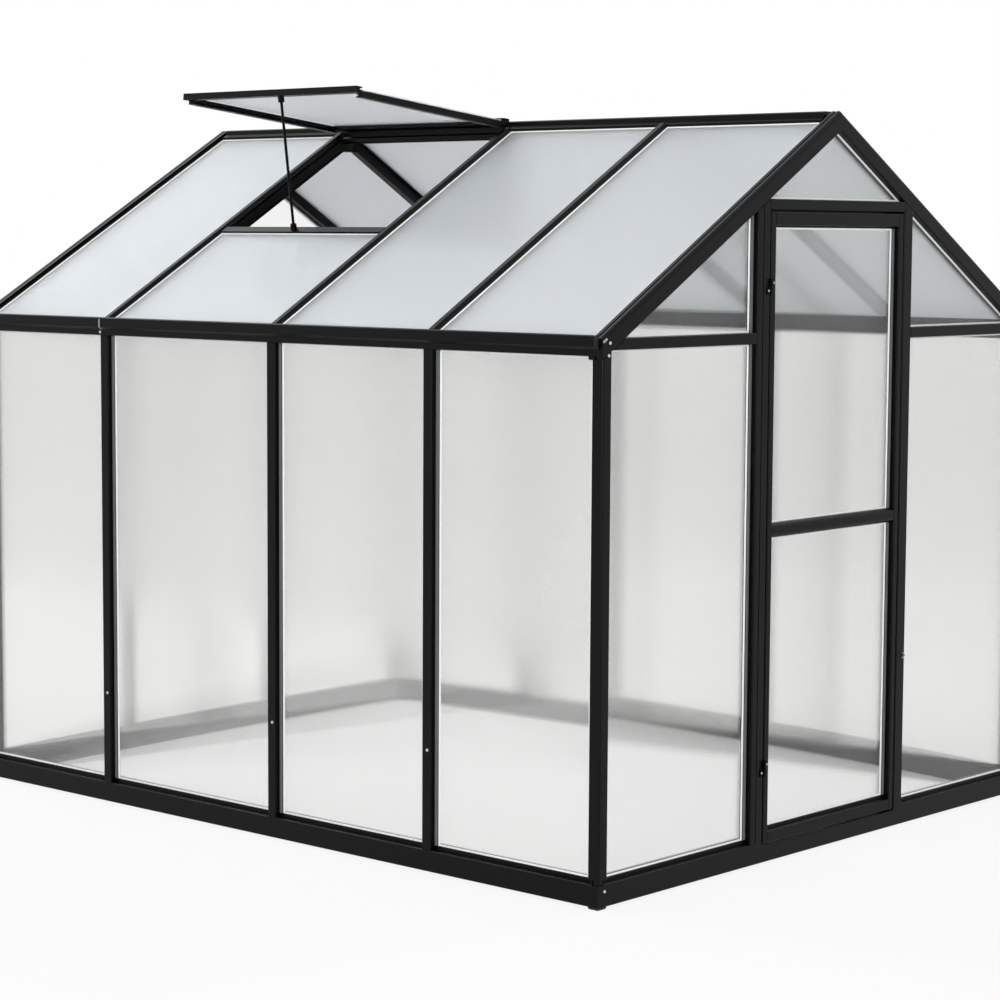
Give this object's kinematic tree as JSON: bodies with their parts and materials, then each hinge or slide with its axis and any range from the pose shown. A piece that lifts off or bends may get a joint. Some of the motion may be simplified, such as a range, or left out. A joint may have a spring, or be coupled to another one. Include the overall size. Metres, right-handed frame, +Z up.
{
  "type": "walk-in greenhouse",
  "caption": "Free-standing gable-roofed greenhouse of black extrusions with milky translucent panes, a hinged door in the gable and a propped roof window.",
  "frame": {"origin": "centre of the plan on the ground, at the level of the feet", "axes": "+Z up, +X to the right for someone facing the door, +Y from the door gable to the back gable"},
  "size_m": [1.926, 2.365, 1.9899],
  "materials": {
    "frame": "satin black powder coat on aluminium extrusion",
    "glazing": "milky translucent sheet",
    "fitting": "black painted steel",
    "foot": "matt black moulded foot"
  },
  "bodies": {
    "structure": {"base_rail_left": "frame", "base_rail_right": "frame", "base_rail_front": "frame", "base_rail_back": "frame", "corner_feet": "foot", "corner_post_front_left": "frame", "corner_post_front_right": "frame", "corner_post_back_left": "frame", "corner_post_back_right": "frame", "side_posts_left": "frame", "side_posts_right": "frame", "head_rail_left": "frame", "head_rail_right": "frame", "eave_gutter_left": "frame", "eave_gutter_right": "frame", "gutter_end_caps": "frame", "verge_front_left": "frame", "verge_front_right": "frame", "verge_back_left": "frame", "verge_back_right": "frame", "roof_bars_left": "frame", "roof_bars_right": "frame", "ridge_beam": "frame", "door_post_left": "frame", "door_post_right": "frame", "door_head": "frame", "front_transoms": "frame", "back_posts": "frame", "back_transom": "frame", "vent_sill": "frame", "vent_hinge_rail": "frame", "vent_side_rails": "frame", "vent_bottom_rail": "frame", "vent_stay_lugs": "fitting", "vent_stay": "fitting", "hinge_leaves_jamb": "fitting", "wall_panes_left": "glazing", "wall_panes_right": "glazing", "front_gable_panes": "glazing", "back_gable_panes": "glazing", "roof_panes_left": "glazing", "roof_panes_right": "glazing", "vent_pane": "glazing"},
    "door": {"door_stiles": "frame", "door_bottom_rail": "frame", "door_mid_rail": "frame", "door_top_rail": "frame", "hinge_leaves_door": "fitting", "door_pane_lower": "glazing", "door_pane_upper": "glazing"}
  },
  "joints": [
    {"name": "door_hinge", "type": "hinge", "parent": "structure", "child": "door", "pos_m": [-0.2975, -1.183, 0.86], "axis": [0, 0, -1], "range_deg": [0, 110]}
  ]
}
